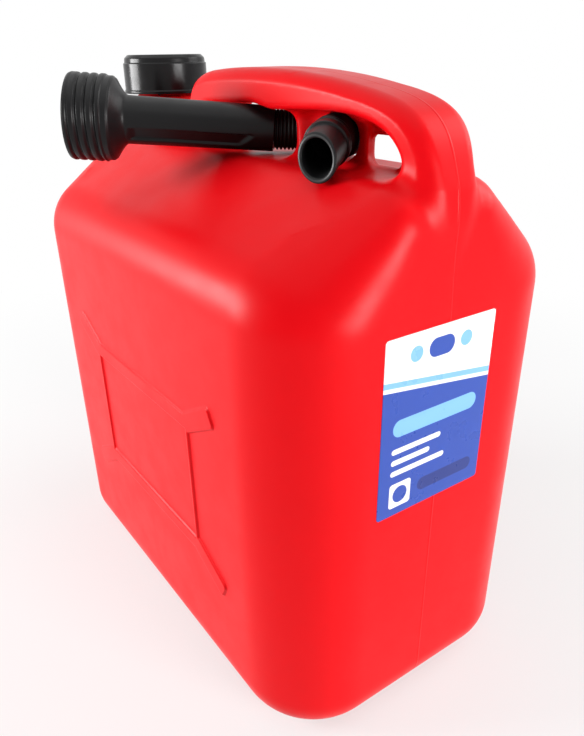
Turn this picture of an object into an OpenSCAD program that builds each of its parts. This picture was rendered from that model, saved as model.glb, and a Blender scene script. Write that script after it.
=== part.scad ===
// Plastic fuel can with a carrying handle, a screw cap and a flexible spout
// that is stored through the handle, round the pillar between its openings.
// +Z is up, +X points to the end that carries the label, and the origin is
// the middle of the base.

/* [Tank] */
// Length of the tank, along X
tank_l = 364; // [330:1:400]
// Width of the tank, along Y
tank_w = 208; // [190:1:230]
// Height at which the wall and the roof planes meet
shoulder_z = 296; // [280:1:310]
// Height of the ridge under the handle
ridge_z = 340.5; // [334:0.5:346]
// Half width of the flat strip along the ridge
ridge_flat = 24; // [16:0.5:28]
// Thickness of the moulded wall
wall = 2.4; // [1.5:0.1:3.5]
// Radius of the upright edges
edge_r = 52; // [42:1:60]
// Radius of the bottom edges
base_r = 28; // [15:1:36]
// Radius of the shoulders
shoulder_r = 40; // [25:1:41]
// Radius along the ridge and at its ends
ridge_r = 24; // [15:1:30]
// How far the ridge ends stand back from the ends of the tank
ridge_back = 1.5; // [1:0.5:8]
// How far the walls draw in at the bottom, on each side
draft = 2.6; // [0:0.2:5]

/* [Side frames] */
// Length of a raised frame
frame_l = 145; // [110:1:160]
// Height of a raised frame
frame_h = 102.5; // [70:0.5:120]
// Height of the middle of a frame
frame_z = 149.8; // [135:0.2:160]
// Middle of a frame along X
frame_x = 2; // [-10:1:10]
// Width of the frame's upper and lower bands
band_w = 10; // [6:0.5:14]
// Width of the frame's upright ribs
rib_w = 3; // [2:0.2:8]
// How far the bands stand proud
band_proud = 1.4; // [0.6:0.1:2.5]
// Length of the slanted ear at each corner
ear_l = 37; // [20:1:44]
// Width of the ears
ear_w = 13; // [8:0.5:16]
// Slant of the ears
ear_turn = 28; // [15:1:45]

/* [Handle] */
// Width of the handle, along Y
handle_w = 43; // [36:1:48]
// Thickness of the handle's grip
handle_t = 19.4; // [17:0.1:23]
// Height of the underside of the grip above the ridge
grip_clear = 31.2; // [31:0.1:36]
// How far the underside sags above the bellows
grip_sag = 3.2; // [1:0.1:3.4]
// Front of the handle's root, along X
handle_front_x = -62; // [-66:0.5:-58]
// Length of the handle's root, along X
root_l = 20.5; // [19:0.5:26]
// Radius of the handle's outer edges
handle_r_out = 9.5; // [6:0.5:10]
// Radius of the root's front edges
root_r = 14; // [8:0.5:14]
// Radius of the handle's inner edges
handle_r_in = 4; // [3:0.5:6]
// Thickness of the handle's rear post
post_t = 20.5; // [16:0.5:24]
// How far the grip drops towards its rear bend
rear_drop = 7.8; // [5:0.2:9]
// Middle of the pillar along X
pillar_x = 60.9; // [57:0.1:64]
// Length of the pillar, along X
pillar_l = 12; // [8:0.5:14]
// Depth of the pillar, along Y
pillar_d = 18; // [14:0.5:19]
// Clearance between the pillar and the bellows
pillar_gap = 2.7; // [1:0.1:3.2]
// Thickness of the web between the pillar and the rear post
web_t = 4; // [3:0.5:6]
// Clearance round the bellows in the web
web_gap = 0.8; // [0.5:0.1:1.5]
// How far the wall beside the bellows stands out from the web
cradle_d = 7; // [4:0.5:7.5]
// Thickness of the wall beside the bellows
cradle_t = 7; // [4:0.5:7.5]
// Middle of the window in the web, along X
window_x = 129.5; // [128.5:0.5:134]
// Length of the window in the web
window_l = 25.5; // [18:0.5:27]
// Height of the window in the web
window_h = 17.5; // [14:0.5:18.5]
// Radius of the window's corners at the pillar's side
window_r_front = 4.5; // [2:0.5:6]
// Radius of the window's upper corner at the post's side
window_r_rear = 8.5; // [4:0.5:11]

/* [Neck and cap] */
// Distance of the neck's middle from the end of the tank
neck_back = 51; // [48:1:56]
// Bore of the neck
neck_bore = 36; // [30:1:37]
// Outside diameter of the neck above its shoulder
neck_d = 43; // [42:0.5:44]
// Outside diameter of the neck below the cap
stem_d = 48; // [46:0.5:54]
// Height of the neck above the ridge
neck_h = 53; // [48:0.5:56]
// Height of the flare at the foot of the neck
neck_flare = 12; // [6:1:16]
// Height of the thread ridge on the neck
thread_h = 1.6; // [0.8:0.1:1.8]
// Clearance between a screwed-on collar and the thread
thread_gap = 0.5; // [0.3:0.1:0.8]
// Outside diameter of the cap
cap_d = 64.4; // [60:0.2:70]
// Height of the cap
cap_h = 27.5; // [25:0.5:30]
// Thickness of the cap's top and walls
cap_wall = 3; // [2:0.2:4]
// Width of the bevel round the cap's top
cap_bevel = 5; // [3:0.5:6]
// Width of the ledge below the bevel
cap_ledge = 2; // [1:0.2:2.6]
// How far the foot ring of the cap stands proud
cap_foot = 0.6; // [0.3:0.1:1.5]
// Thickness of the gaskets
gasket_t = 2.5; // [1.5:0.1:3]

/* [Spout] */
// Heading of the tube, from +X towards +Y
tube_heading = 55.5; // [50:0.5:60]
// Downward slope of the tube towards its bellows
tube_slope = 4.3; // [2.5:0.05:4.4]
// Outside diameter of the collar's ridges
collar_d = 52; // [51:0.2:56]
// Length of the collar
collar_l = 27; // [23:0.5:32]
// Number of ridges round the collar
collar_ridges = 4; // [3:1:5]
// Depth of the grooves between the ridges
groove_depth = 1; // [0.4:0.1:1.2]
// Length of the cone from the collar to the tube
cone_l = 6; // [4:0.5:10]
// Length of the tube
tube_l = 93; // [80:1:105]
// Diameter of the tube at its collar
tube_d = 29; // [28:0.2:31]
// Diameter of the tube at its bellows
tube_end_d = 27.4; // [25.6:0.2:28]
// Bore of the tube
tube_bore = 20.5; // [16:0.5:22]
// Depth of the flutes along the tube
flute_depth = 1.8; // [0.5:0.1:2.4]
// Width of the flutes along the tube
flute_w = 9; // [5:0.5:12]
// Turn of the flutes from the tube's underside
flute_turn = 58; // [40:1:75]
// Outside diameter of the bellows
bellows_d = 25.2; // [24:0.2:25.6]
// Depth of the bellows' folds
fold_depth = 1.4; // [0.8:0.1:2.2]
// Distance from one fold to the next
fold_pitch = 2.4; // [2.2:0.1:5]
// Straight stretch of bellows before the bend
bellows_in = 22.4; // [18:0.2:26]
// Straight stretch of bellows after the bend
bellows_out = 46; // [45:0.5:50]
// Heading of the nozzle, from +X
nozzle_heading = -54; // [-58:0.5:-50]
// Downward slope of the nozzle
nozzle_slope = 14; // [8:0.5:16]
// Diameter of the ring behind the nozzle
ring_d = 25.8; // [24.6:0.2:26.4]
// Length of the ring behind the nozzle
ring_l = 5; // [3:0.5:8]
// Clearance between the ring and the end of the bellows
ring_gap = 0.3; // [0.3:0.1:0.6]
// Diameter of the nozzle
nozzle_d = 23.2; // [20:0.2:24]
// Length of the nozzle in front of its ring
nozzle_l = 18; // [12:0.5:20]
// Heading of the slanting cut at the nozzle's end, from +X
tip_heading = -72; // [-80:1:-52]
// Upward tilt of that cut
tip_rise = 8.5; // [-10:0.5:15]
// Wall of the nozzle
nozzle_wall = 2.6; // [1.2:0.1:3]
// Clearance between the ridge and the bellows
spout_gap = 1.2; // [0.8:0.1:1.3]
// Rise of the bellows from its start to its nozzle end
spout_rise = 2; // [1.6:0.1:2.2]

/* [Label] */
// Width of the label
label_w = 81; // [60:1:94]
// Height of the label
label_h = 109; // [80:1:112]
// Middle of the label along Y
label_y = -4.5; // [-8:0.5:8]
// Height of the label's lower edge
label_z = 161; // [150:1:161]
// Thickness of the label
label_t = 0.3; // [0.2:0.1:0.6]
// Radius of the label's corners
label_r = 2; // [0.5:0.5:6]

/* [Hidden] */
$fn = 64;
hull_fn = 32;
eps = 0.02;

red = "red";
black = [0.06, 0.06, 0.07];
rubber = [0.15, 0.15, 0.16];
paper = [0.2, 0.35, 0.8];

half_l = tank_l / 2;
half_w = tank_w / 2;

// The shoulder's arc is tangent to the wall and to the roof
roof_rise = atan2(ridge_z + 3.5 - shoulder_z, half_w - ridge_flat);
shoulder_c_z = shoulder_z - shoulder_r * tan((90 - roof_rise) / 2);
wall_tilt = atan2(draft, shoulder_c_z - base_r);

// Screw thread: the cap and the collar clear the thread's crest
thread_d = neck_d + 2 * thread_h;
socket_d = thread_d + 2 * thread_gap;
neck_x = neck_back - half_l;
neck_top = ridge_z + neck_h;
cap_inner_z = neck_top + gasket_t;
cap_z = cap_inner_z + cap_wall - cap_h;

// Heights of the grip's underside and top
grip_z = ridge_z + grip_clear;
handle_top = grip_z + handle_t;

// Spout: its bend goes round the pillar's axis
bend_r = pillar_d / 2 + pillar_gap + bellows_d / 2;
level_z = ridge_z + spout_gap + bellows_d / 2;
bend_start = [pillar_x - bend_r * sin(tube_heading), bend_r * cos(tube_heading)];
bellows_start = bend_start - bellows_in * [cos(tube_heading), sin(tube_heading)];
lead_drop = bellows_in * tan(tube_slope) / 2;
bellows_start_z = level_z + lead_drop;
// The collar's socket ends in a narrower seat for the gasket
socket_l = collar_l - 4;
seat_d = socket_d - 1;
tube_run = collar_l + cone_l + tube_l;
tube_base = [bellows_start[0] - tube_run * cos(tube_slope) * cos(tube_heading),
             bellows_start[1] - tube_run * cos(tube_slope) * sin(tube_heading),
             bellows_start_z + tube_run * sin(tube_slope)];
bend_turn = tube_heading - nozzle_heading;
bend_l = bend_r * bend_turn * PI / 180;
bellows_l = bellows_in + bend_l + bellows_out;
// The bellows dips to the nozzle's slope over its last stretch
dip_l = 10;
nozzle_base = concat(spout_plan(bellows_l), [spout_height(bellows_l)]);
bellows_bore = bellows_d - 2 * fold_depth - 3;
web_hole_d = bellows_d + 2 * web_gap + spout_rise;
nozzle_bore = nozzle_d - 2 * nozzle_wall;

// Point on a cubic curve that starts at p[0] and ends at p[3]
function bezier(p, t) = pow(1 - t, 3) * p[0] + 3 * pow(1 - t, 2) * t * p[1]
    + 3 * (1 - t) * t * t * p[2] + pow(t, 3) * p[3];
function unit(v) = v / norm(v);
// Rises smoothly from 0 to 1 as t does
function ease(t) = let (c = min(max(t, 0), 1)) c * c * (3 - 2 * c);

// Outline of a rounded bar, width w along u and thickness t along v,
// with its upper corners rounded by ro and its lower corners by ri
function bar_section(w, t, ro, ri, steps) = [
    for (corner = [[1, 1, ro, 0], [-1, 1, ro, 90], [-1, -1, ri, 180], [1, -1, ri, 270]])
        for (k = [0 : steps])
            let (a = corner[3] + 90 * k / steps, r = corner[2])
            [corner[0] * (w / 2 - r) + r * cos(a), corner[1] * (t / 2 - r) + r * sin(a)]];

// Plan of the spout's bellows at length s from its start
function spout_plan(s) =
    s < bellows_in
        ? bellows_start + s * [cos(tube_heading), sin(tube_heading)]
        : s < bellows_in + bend_l
            ? let (h = tube_heading - (s - bellows_in) / bend_r * 180 / PI)
              [pillar_x - bend_r * sin(h), bend_r * cos(h)]
            : let (o = s - bellows_in - bend_l)
              [pillar_x - bend_r * sin(nozzle_heading) + o * cos(nozzle_heading),
               bend_r * cos(nozzle_heading) + o * sin(nozzle_heading)];

// Height of the bellows' middle at length s
function spout_height(s) =
    let (lead = max(0, 1 - s / bellows_in), dip = max(0, 1 - (bellows_l - s) / dip_l))
    level_z + spout_rise * s / bellows_l + lead_drop * lead * lead - dip_l * tan(nozzle_slope) / 2 * dip * dip;

function spout_point(s) = concat(spout_plan(s), [spout_height(s)]);

// Direction of the bellows' middle line at length s
function spout_dir(s) =
    s <= 0 ? aim(tube_heading, tube_slope)
    : s >= bellows_l ? aim(nozzle_heading, nozzle_slope)
    : unit(spout_point(min(bellows_l, s + 0.2)) - spout_point(max(0, s - 0.2)));

function aim(heading, slope) = [cos(slope) * cos(heading), cos(slope) * sin(heading), -sin(slope)];

// Ring of n points with radius r round the bellows' middle line at length s
function hose_ring(s, r, n) =
    let (c = spout_point(s), d = spout_dir(s), side = unit(cross([0, 0, 1], d)), up = cross(d, side))
    [for (k = [0 : n - 1]) c + r * (cos(360 * k / n) * side + sin(360 * k / n) * up)];

// Closed skin through a row of rings that all have the same number of points
module loft(rings) {
    n = len(rings[0]);
    m = len(rings);
    sides = [for (i = [0 : m - 2]) for (k = [0 : n - 1])
        let (a = i * n + k, b = i * n + (k + 1) % n, c = a + n, d = b + n)
        each [[a, c, b], [b, c, d]]];
    first = [for (k = [0 : n - 1]) k];
    last = [for (k = [n - 1 : -1 : 0]) (m - 1) * n + k];
    polyhedron(points = [for (r = rings) each r], faces = concat(sides, [first], [last]));
}

// Rounded disc: plan radius R, edge radius r, thinned by inset
module edge_disc(plan_r, r, inset) {
    rotate_extrude($fn = hull_fn)
        intersection() {
            translate([plan_r - r, 0]) circle(r - inset, $fn = hull_fn);
            translate([0, -r]) square([plan_r, 2 * r]);
        }
}

// Outer form of the tank, or the space inside it when inset by the wall
module tank_form(inset) {
    hull()
        for (sx = [-1, 1], sy = [-1, 1]) {
            translate([sx * (half_l - edge_r - draft), sy * (half_w - edge_r - draft), base_r])
                edge_disc(edge_r, base_r, inset);
            translate([sx * (half_l - edge_r), sy * (half_w - edge_r), shoulder_c_z])
                edge_disc(edge_r, shoulder_r, inset);
            translate([sx * (half_l - ridge_back - ridge_r), sy * ridge_flat, ridge_z - ridge_r])
                sphere(ridge_r - inset, $fn = hull_fn);
        }
}

// Profile of the handle in the XZ plane. The outer line climbs from the root, follows the
// grip and turns down into the rear post; the inner line runs below it, station by station.
grip_end_x = half_l - 60.5;
front_out = [[handle_front_x, ridge_z + 11.5], [handle_front_x, handle_top - 16],
             [handle_front_x + 9, handle_top - 3.4], [handle_front_x + 38, handle_top - 1.8]];
grip_out = [front_out[3], [pillar_x - 51, handle_top + 1.1], [pillar_x + 9, handle_top + 1.3],
            [grip_end_x, handle_top - rear_drop]];
rear_out = [grip_out[3], [half_l - 19.5, handle_top - rear_drop - 6], [half_l - 10, handle_top - 21],
            [half_l - 2, ridge_z - 3]];
inner_front_x = handle_front_x + root_l;
front_in = [[inner_front_x, ridge_z + 11.5], [inner_front_x, ridge_z + 22],
            [inner_front_x + 5, grip_z - 3], [inner_front_x + 20, grip_z - 2.7]];
grip_in = [front_in[3], [pillar_x - 51, grip_z - 1.2], [pillar_x + 9, grip_z + 2.2],
           [grip_end_x, grip_z - rear_drop + 5]];
rear_in = [grip_in[3], [half_l - 39, grip_in[3][1] - 2.7], [half_l - post_t - 3, grip_in[3][1] - 7],
           [half_l - post_t - 2, ridge_z]];
// Underside of the grip, which sags past the place where the tube goes under it
function grip_under(t) = bezier(grip_in, t) - [0, grip_sag * ease((t - 0.38) / 0.16) * ease((1 - t) / 0.5)];
root_depth = 12;
post_depth = 40;

// Ring across the handle between an outer and an inner point, drawn in by inset
function handle_ring(outer, inner, w, r, inset, steps) =
    let (up = unit(outer - inner), mid = (outer + inner) / 2, t = norm(outer - inner) - 2 * inset)
    [for (p = bar_section(w - 2 * inset, t, max(0.5, r - inset), max(0.5, handle_r_in - inset), steps))
        [mid[0] + p[1] * up[0], p[0], mid[1] + p[1] * up[1]]];

function handle_rings(inset, steps) = concat(
    [handle_ring(front_out[0] - [0, root_depth + 11.5], front_in[0] - [0, root_depth + 11.5],
                 handle_w, root_r, inset, steps)],
    [for (k = [0 : 8]) handle_ring(bezier(front_out, k / 8), bezier(front_in, k / 8), handle_w,
                                   root_r + (handle_r_out - root_r) * min(1, k / 5), inset, steps)],
    [for (k = [1 : 15]) handle_ring(bezier(grip_out, k / 15), grip_under(k / 15), handle_w,
                                    handle_r_out, inset, steps)],
    [for (k = [1 : 8]) handle_ring(bezier(rear_out, k / 8), bezier(rear_in, k / 8),
                                   handle_w * (1 - 0.2 * pow(k / 8, 3)), handle_r_out, inset, steps)],
    [handle_ring(rear_out[3] + [0.8, -post_depth / 2], rear_in[3] + [0, -post_depth / 2],
                 handle_w * 0.62, handle_r_out, inset, steps),
     handle_ring(rear_out[3] + [0, -post_depth], rear_in[3] + [0, -post_depth],
                 handle_w * 0.5, handle_r_out, inset, steps)]);

// Web between the pillar and the rear post, with a hole for the bellows, a wall beside it and a window
module web_form() {
    top_line = concat([for (k = [8 : 15]) grip_under(k / 15) + [0, wall]],
                      [for (k = [1 : 8]) bezier(rear_in, k / 8) + [wall, 0]]);
    turn = -nozzle_heading;
    beside_x = pillar_x + (bend_r + web_hole_d / 2) / sin(turn);
    lean = cradle_d / tan(turn);
    difference() {
        union() {
            rotate([90, 0, 0])
                linear_extrude(web_t, center = true)
                    difference() {
                        polygon(concat([[pillar_x, ridge_z - wall], [pillar_x, grip_z + wall]],
                                       [for (p = top_line) if (p[0] > pillar_x + 1) p],
                                       [[half_l - post_t, ridge_z - wall]]));
                        translate([window_x, ridge_z + 0.5]) window_outline();
                    }
            translate([0, 0, ridge_z - wall])
                linear_extrude(grip_clear + wall)
                    polygon([[beside_x - cradle_t, 0], [beside_x + cradle_t, 0],
                             [beside_x + cradle_t + lean, -cradle_d], [beside_x - cradle_t + lean, -cradle_d]]);
        }
        translate(spout_point(bellows_in + bend_l))
            rotate([0, 0, nozzle_heading])
                rotate([0, 90, 0])
                    cylinder(d = web_hole_d, h = bellows_out);
    }
}

// Window drawn from the middle of its lower edge
module window_outline() {
    reach = window_l / 2;
    hull() {
        for (z = [window_r_front, window_h - window_r_front])
            translate([window_r_front - reach, z]) circle(window_r_front);
        translate([reach - window_r_front, window_r_front]) circle(window_r_front);
        translate([reach - window_r_rear, window_h - window_r_rear]) circle(window_r_rear);
    }
}

// Pillar between the two openings, flared where it meets the ridge and the handle
pillar_flare = 6;
module pillar_form() {
    low = ridge_z - wall;
    high = grip_z + wall;
    loft([for (k = [0 : 12])
        let (z = low + (high - low) * k / 12,
             f = max(0, 1 - min(z - low, high - z) / (pillar_flare + wall)),
             add = pillar_flare * (1 - sqrt(1 - f * f)))
        [for (a = [0 : 15 : 345])
            [pillar_x + (pillar_l / 2 + add) * cos(a), (pillar_d / 2 + add) * sin(a), z]]]);
}

// Neck: a flared foot, the stem below the cap, and the narrower part that takes the thread
module neck_form() {
    stem_h = cap_z - ridge_z - 1.5;
    translate([neck_x, 0, ridge_z]) {
        rotate_extrude()
            difference() {
                translate([0, -8]) square([stem_d / 2 + neck_flare, 8 + stem_h]);
                translate([stem_d / 2 + neck_flare, neck_flare]) circle(neck_flare);
                translate([stem_d / 2, neck_flare]) square([neck_flare + 1, stem_h]);
            }
        cylinder(d = neck_d, h = neck_h);
    }
}

// Raised frame with an ear at each corner, drawn flat
module frame_outline() {
    ear_r = 3;
    for (side = [-1, 1]) {
        translate([0, side * (frame_h - band_w) / 2]) square([frame_l, band_w], center = true);
        translate([side * (frame_l - rib_w) / 2, 0]) square([rib_w, frame_h], center = true);
        for (up = [-1, 1])
            translate([side * (frame_l - rib_w) / 2, up * (frame_h - band_w) / 2])
                rotate(side > 0 ? up * ear_turn : 180 - up * ear_turn)
                    offset(ear_r) offset(delta = -ear_r)
                        translate([-ear_w / 4, -ear_w / 2]) square([ear_l + ear_w / 4, ear_w]);
    }
}

// Something drawn flat, laid on the wall that faces the given heading, at height z
module on_wall(reach, heading, z, sink) {
    rotate([0, 0, heading])
        translate([reach, 0, shoulder_c_z])
            rotate([0, wall_tilt, 0])
                translate([-sink, 0, z - shoulder_c_z])
                    rotate([90, 0, 90])
                        children();
}

module tank() {
    color(red)
    difference() {
        union() {
            tank_form(0);
            loft(handle_rings(0, 5));
            pillar_form();
            web_form();
            neck_form();
            for (side = [-1, 1])
                on_wall(half_w, side * 90, frame_z, wall / 2)
                    translate([-side * frame_x, 0])
                        linear_extrude(band_proud + wall / 2) frame_outline();
        }
        tank_form(wall);
        loft(handle_rings(wall, 3));
        translate([neck_x, 0, ridge_z - ridge_r]) cylinder(d = neck_bore, h = neck_h + ridge_r + 1);
    }
}

module cap() {
    shell_r = cap_d / 2 - cap_wall;
    sleeve_r = socket_d / 2 + cap_wall;
    color(black)
    translate([neck_x, 0, cap_z])
        rotate_extrude()
            difference() {
                polygon([[0, 0], [cap_d / 2 + cap_foot, 0], [cap_d / 2 + cap_foot, 2], [cap_d / 2, 2.6],
                         [cap_d / 2, cap_h - cap_bevel - 0.6], [cap_d / 2 - 0.6, cap_h - cap_bevel],
                         [cap_d / 2 - cap_ledge, cap_h - cap_bevel + 0.3],
                         [cap_d / 2 - cap_bevel + 0.4, cap_h - 0.6],
                         [cap_d / 2 - cap_bevel - 0.4, cap_h], [0, cap_h]]);
                translate([0, -1]) square([socket_d / 2, cap_h - cap_wall + 1]);
                translate([sleeve_r, -1]) square([shell_r - sleeve_r, cap_h - cap_bevel]);
            }
}

module cap_gasket() {
    color(rubber)
    translate([neck_x, 0, neck_top])
        difference() {
            cylinder(d = socket_d - 0.6, h = gasket_t);
            translate([0, 0, -1]) cylinder(d = neck_bore - 4, h = gasket_t + 2);
        }
}

// Stands its child's Z axis along the tube, from the open end of the collar
module along_tube() {
    translate(tube_base) rotate([0, tube_slope, tube_heading]) rotate([0, 90, 0]) children();
}

module spout_tube() {
    ridge_pitch = (collar_l - 5) / collar_ridges;
    color(black)
    along_tube()
        difference() {
            rotate_extrude()
                difference() {
                    polygon([[0, 0], [collar_d / 2, 0], [collar_d / 2, collar_l - 4.5],
                             [collar_d / 2 - 1, collar_l - 4.5], [collar_d / 2 - 1, collar_l],
                             [tube_d / 2 + 1.5, collar_l + cone_l], [tube_d / 2, collar_l + cone_l + 0.5],
                             [tube_end_d / 2, tube_run], [0, tube_run]]);
                    for (k = [1 : collar_ridges])
                        translate([collar_d / 2, k * ridge_pitch]) circle(groove_depth, $fn = 24);
                }
            translate([0, 0, -1]) cylinder(d = socket_d, h = socket_l - gasket_t + 1);
            translate([0, 0, -1]) cylinder(d = seat_d, h = socket_l + 1);
            translate([0, 0, -1]) cylinder(d = tube_bore, h = tube_run + 2);
            translate([0, 0, socket_l - eps])
                cylinder(d1 = socket_d - 8, d2 = tube_bore, h = cone_l);
            for (side = [-1, 1])
                rotate([0, 0, side * flute_turn])
                    translate([tube_end_d / 2 - flute_depth, -flute_w / 2, collar_l + cone_l + 6])
                        cube([flute_depth * 3, flute_w, tube_l - 22]);
        }
}

module spout_gasket() {
    color(rubber)
    along_tube()
        translate([0, 0, socket_l - gasket_t])
            difference() {
                cylinder(d = seat_d - 0.4, h = gasket_t);
                translate([0, 0, -1]) cylinder(d = neck_bore - 4, h = gasket_t + 2);
            }
}

module spout_bellows() {
    folds = floor((bellows_l - 4) / fold_pitch);
    end_l = (bellows_l - folds * fold_pitch) / 2;
    crest = bellows_d / 2;
    root = crest - fold_depth;
    rings = concat([hose_ring(0, crest, 20), hose_ring(end_l * 0.7, crest, 20)],
                   [for (k = [0 : folds - 1]) each [
                       hose_ring(end_l + k * fold_pitch, root, 20),
                       hose_ring(end_l + (k + 0.5) * fold_pitch, crest, 20)]],
                   [hose_ring(bellows_l - end_l, root, 20), hose_ring(bellows_l - end_l * 0.7, crest, 20),
                    hose_ring(bellows_l, crest, 20)]);
    bore_steps = 30;
    color(black)
    difference() {
        loft(rings);
        loft([for (k = [-1 : bore_steps + 1])
            let (s = bellows_l * k / bore_steps)
            [for (p = hose_ring(min(max(s, 0), bellows_l), bellows_bore / 2, 12))
                p + (k < 0 ? -1 : k > bore_steps ? 1 : 0) * spout_dir(min(max(s, 0), bellows_l))]]);
    }
}

module spout_nozzle() {
    length = ring_l + nozzle_l;
    color(black)
    difference() {
        translate(nozzle_base + ring_gap * aim(nozzle_heading, nozzle_slope))
            rotate([0, nozzle_slope, nozzle_heading]) rotate([0, 90, 0])
            difference() {
                union() {
                    cylinder(d = ring_d, h = ring_l);
                    cylinder(d = nozzle_d, h = length + nozzle_d / 2);
                }
                translate([0, 0, -1]) cylinder(d = nozzle_bore, h = length + nozzle_d);
            }
        translate(nozzle_base + length * aim(nozzle_heading, nozzle_slope))
            rotate([0, -tip_rise, tip_heading])
                translate([0, -nozzle_d, -nozzle_d]) cube(2 * nozzle_d);
    }
}

module label() {
    color(paper)
    on_wall(half_l, 0, label_z + label_h / 2, -eps)
        translate([label_y, 0])
            linear_extrude(label_t)
                difference() {
                    square([label_w, label_h], center = true);
                    for (sx = [-1, 1], sy = [-1, 1])
                        translate([sx * label_w / 2, sy * label_h / 2])
                            difference() {
                                square(2 * label_r, center = true);
                                translate([-sx * label_r, -sy * label_r]) circle(label_r);
                            }
                }
}

tank();
cap();
cap_gasket();
spout_tube();
spout_gasket();
spout_bellows();
spout_nozzle();
label();
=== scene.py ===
import math

import bmesh
import bpy
import numpy as np
from mathutils import Matrix, Vector


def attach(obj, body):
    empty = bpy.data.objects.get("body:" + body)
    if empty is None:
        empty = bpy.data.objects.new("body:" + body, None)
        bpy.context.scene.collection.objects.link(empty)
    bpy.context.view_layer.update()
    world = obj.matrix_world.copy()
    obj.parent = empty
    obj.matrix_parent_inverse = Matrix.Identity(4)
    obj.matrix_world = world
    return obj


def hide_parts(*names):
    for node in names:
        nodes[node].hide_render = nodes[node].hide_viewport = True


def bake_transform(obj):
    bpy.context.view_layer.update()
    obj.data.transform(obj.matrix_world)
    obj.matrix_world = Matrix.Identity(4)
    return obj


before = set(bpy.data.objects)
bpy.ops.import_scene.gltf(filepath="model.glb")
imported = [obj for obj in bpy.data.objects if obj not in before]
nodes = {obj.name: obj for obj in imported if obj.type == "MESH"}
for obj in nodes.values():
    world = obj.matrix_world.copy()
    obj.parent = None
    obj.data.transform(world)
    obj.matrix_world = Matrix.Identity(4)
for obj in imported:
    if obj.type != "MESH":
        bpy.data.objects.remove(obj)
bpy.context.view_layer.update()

# Sizes are in millimetres, as in the part's source, unless a comment names metres.
# Meshes are scaled once, when they are made
MM = 0.001

# Tank
HALF_L, HALF_W = 182.0, 104.0
RIDGE_Z, RIDGE_FLAT, RIDGE_R, RIDGE_BACK = 340.5, 24.0, 24.0, 1.5
EDGE_R, BASE_R, SHOULDER_R, DRAFT = 52.0, 28.0, 40.0, 2.6
SHOULDER_Z = 296.0
ROOF_RISE = math.atan2(RIDGE_Z + 3.5 - SHOULDER_Z, HALF_W - RIDGE_FLAT)
SHOULDER_C = SHOULDER_Z - SHOULDER_R * math.tan((math.pi / 2 - ROOF_RISE) / 2)

# Raised frames on the two long sides
FRAME_L, FRAME_H, FRAME_Z, FRAME_X = 145.0, 102.5, 149.8, 2.0
BAND_W, RIB_W, BAND_PROUD = 10.0, 3.0, 1.36
EAR_L, EAR_W, EAR_TURN = 37.0, 13.0, math.radians(28.0)

# Handle, pillar and web
HANDLE_W, HANDLE_T, GRIP_CLEAR = 43.0, 19.4, 31.2
GRIP_Z = RIDGE_Z + GRIP_CLEAR
HANDLE_TOP = GRIP_Z + HANDLE_T
FRONT_X, ROOT_L, ROOT_R = -62.0, 20.5, 14.0
R_OUT, R_IN, POST_T, REAR_DROP, GRIP_SAG = 9.5, 4.0, 20.5, 7.8, 3.2
PILLAR_X, PILLAR_L, PILLAR_D = 60.9, 12.0, 18.0
WEB_T, WEB_GAP, CRADLE_D, CRADLE_T = 4.0, 0.8, 7.0, 7.0
CRADLE_FROM, PILLAR_ROOT, CRADLE_ROOT = 6.0, 10, 8
WINDOW_X, WINDOW_L, WINDOW_H, WINDOW_R_FRONT, WINDOW_R_REAR = 129.5, 25.5, 17.5, 4.5, 8.5

# Edge radii and fillets of the moulding. The handle's fillet grows with height over HANDLE_FILLET_Z
HANDLE_FILLET_LOW, HANDLE_FILLET_MORE, HANDLE_FILLET_Z = 2.5, 11.5, (300.0, 348.0)
PILLAR_FILLET, WEB_FILLET, CRADLE_FILLET, STEM_FILLET, NECK_FILLET = 11.0, 8.0, 6.0, 13.0, 1.5
WEB_EDGE, CRADLE_EDGE, HOLE_EDGE, STEM_EDGE, NECK_EDGE = 0.9, 2.5, 1.2, 1.2, 0.6
BAND_EDGE, BAND_CORNER, EAR_CORNER = 0.8, 1.0, 3.0

# Distance from the middle plane at which the long sides start, are full and are flat
SIDE_FROM, SIDE_FULL, SIDE_FLAT = 88.0, 94.0, 96.0

# Tank's mesh: cell of the first net, margin round it, value far from the skin, and the reaches
# over which the slope is read to settle points, and for the normals of details and open shell
CELL, MARGIN, FAR = 3.1, 7.0, 50.0
NET_REACH, DETAIL_REACH, SHELL_REACH = 0.25, 0.8, 7.0

# Neck and cap
NECK_X, NECK_BORE, NECK_D, STEM_D = -131.0, 36.0, 43.0, 48.0
NECK_TOP, CAP_Z, CAP_H, CAP_D = 393.5, 371.5, 27.5, 64.4
THREAD_D, SOCKET_D, THREAD_PITCH, THREAD_TURNS, THREAD_DOWN = 46.2, 47.2, 4.0, 2.75, 15.5
NECK_BORE_FROM, STEM_DOWN, STEM_ROOT = 305.0, 1.5, 20

# Spout
TUBE_HEADING, TUBE_SLOPE = math.radians(55.5), math.radians(4.3)
COLLAR_R, COLLAR_L, CONE_L, TUBE_L = 26.0, 27.0, 6.0, 93.0
CONE_END = COLLAR_L + CONE_L
TUBE_R, TUBE_END_R, TUBE_BORE_R = 14.5, 13.7, 10.25
GROOVE_PITCH, GROOVE_DEPTH, GROOVE_W, GROOVE_FROM = 5.4, 1.25, 1.0, 1.2
LIP_EDGE, FLANGE_STEP, COLLAR_EDGE, FLARE_POWER = 0.5, 1.0, 0.9, 1.5
FLUTE_TURN, FLUTE_SLANT, FLUTE_STOP, FLUTE_LEAST = math.radians(57.6), 0.9, 17.0, 0.9
BELLOWS_R, FOLD_DEPTH, FOLD_PITCH, BELLOWS_ROOM = 12.6, 1.4, 2.4, 1.3
BEND_R, BELLOWS_IN, BELLOWS_OUT = PILLAR_D / 2 + 2.7 + BELLOWS_R, 22.4, 46.0
NOZZLE_HEADING, NOZZLE_SLOPE = math.radians(-54.0), math.radians(14.0)
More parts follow.
